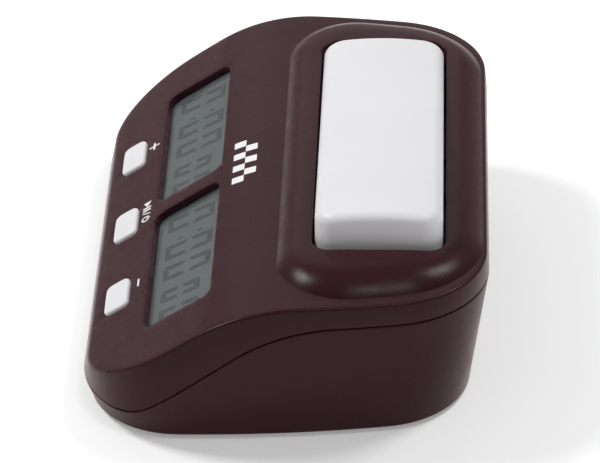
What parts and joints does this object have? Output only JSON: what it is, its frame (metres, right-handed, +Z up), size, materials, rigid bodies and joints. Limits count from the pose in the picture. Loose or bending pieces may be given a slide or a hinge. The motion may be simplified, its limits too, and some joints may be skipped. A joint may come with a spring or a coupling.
{
  "type": "chess clock",
  "caption": "Wedge-shaped digital chess clock with a long see-saw rocker on a raised surround, twin displays on a sloping front, and small push buttons below them.",
  "frame": {"origin": "under the clock's centre, on the plane that its rubber feet stand on", "axes": "+X to the clock's right as its displays are read, +Y to its rear, +Z up"},
  "size_m": [0.1556, 0.1063, 0.0551],
  "materials": {
    "housing_plastic": "maroon-brown moulded ABS, fine satin grain",
    "white_plastic": "white moulded ABS, satin gloss",
    "steel": "plated steel",
    "rubber": "black rubber",
    "circuit_board": "green glass-epoxy board",
    "black_plastic": "black moulded plastic",
    "plunger_plastic": "off-white nylon",
    "clear_lens": "clear polished acrylic",
    "lcd_glass": "grey-green reflective display",
    "zebra_rubber": "layered conductive silicone",
    "capacitor_sleeve": "blue plastic sleeve",
    "battery_jacket": "plain dark printed sleeve",
    "red_wire": "red insulation",
    "black_wire": "black insulation",
    "grey_wire": "grey insulation"
  },
  "bodies": {
    "housing": {"top_housing": "housing_plastic", "bottom_housing": "housing_plastic", "housing_screws": "steel", "rubber_feet": "rubber", "rocker_pin": "steel", "switch_board": "circuit_board", "switch_board_screws": "steel", "left_switch": "black_plastic", "right_switch": "black_plastic", "left_lens": "clear_lens", "right_lens": "clear_lens", "left_lcd": "lcd_glass", "right_lcd": "lcd_glass", "left_zebra_strip": "zebra_rubber", "right_zebra_strip": "zebra_rubber", "lcd_holder": "black_plastic", "main_board": "circuit_board", "main_board_screws": "steel", "controller_blob": "black_plastic", "timing_crystal": "steel", "capacitor": "capacitor_sleeve", "plus_key_switch": "black_plastic", "play_key_switch": "black_plastic", "minus_key_switch": "black_plastic", "buzzer": "black_plastic", "battery": "battery_jacket", "contact_spring": "steel", "contact_plate": "steel", "positive_lead": "red_wire", "negative_lead": "black_wire", "buzzer_leads": "red_wire", "switch_leads": "grey_wire"},
    "rocker": {"rocker": "white_plastic"},
    "left_plunger": {"left_plunger": "plunger_plastic"},
    "right_plunger": {"right_plunger": "plunger_plastic"},
    "plus_button": {"plus_button": "white_plastic", "plus_key_plunger": "plunger_plastic"},
    "play_button": {"play_button": "white_plastic", "play_key_plunger": "plunger_plastic"},
    "minus_button": {"minus_button": "white_plastic", "minus_key_plunger": "plunger_plastic"},
    "battery_door": {"battery_door": "housing_plastic"}
  },
  "joints": [
    {"name": "rocker_tilt", "type": "hinge", "parent": "housing", "child": "rocker", "pos_m": [0, 0.0238, 0.04], "axis": [0, 1, 0], "range_deg": [0, 7.2]},
    {"name": "left_plunger_slide", "type": "slide", "parent": "housing", "child": "left_plunger", "axis": [0, 0, 1], "range_m": [0, 0.00026]},
    {"name": "right_plunger_slide", "type": "slide", "parent": "housing", "child": "right_plunger", "axis": [0, 0, 1], "range_m": [-0.00026, 0]},
    {"name": "plus_press", "type": "slide", "parent": "housing", "child": "plus_button", "axis": [0, 0.5577, -0.83], "range_m": [0, 0.0006], "stiffness_N_per_m": 300},
    {"name": "play_press", "type": "slide", "parent": "housing", "child": "play_button", "axis": [0, 0.5577, -0.83], "range_m": [0, 0.0006], "stiffness_N_per_m": 300},
    {"name": "minus_press", "type": "slide", "parent": "housing", "child": "minus_button", "axis": [0, 0.5577, -0.83], "range_m": [0, 0.0006], "stiffness_N_per_m": 300},
    {"name": "battery_door_swing", "type": "hinge", "parent": "housing", "child": "battery_door", "pos_m": [0.0268, 0.024, 0.0012], "axis": [0, -1, 0], "range_deg": [0, 80]}
  ],
  "couplings": [
    {"joint": "left_plunger_slide", "follows": "rocker_tilt", "m_per_rad": 0.002},
    {"joint": "right_plunger_slide", "follows": "rocker_tilt", "m_per_rad": -0.002}
  ]
}
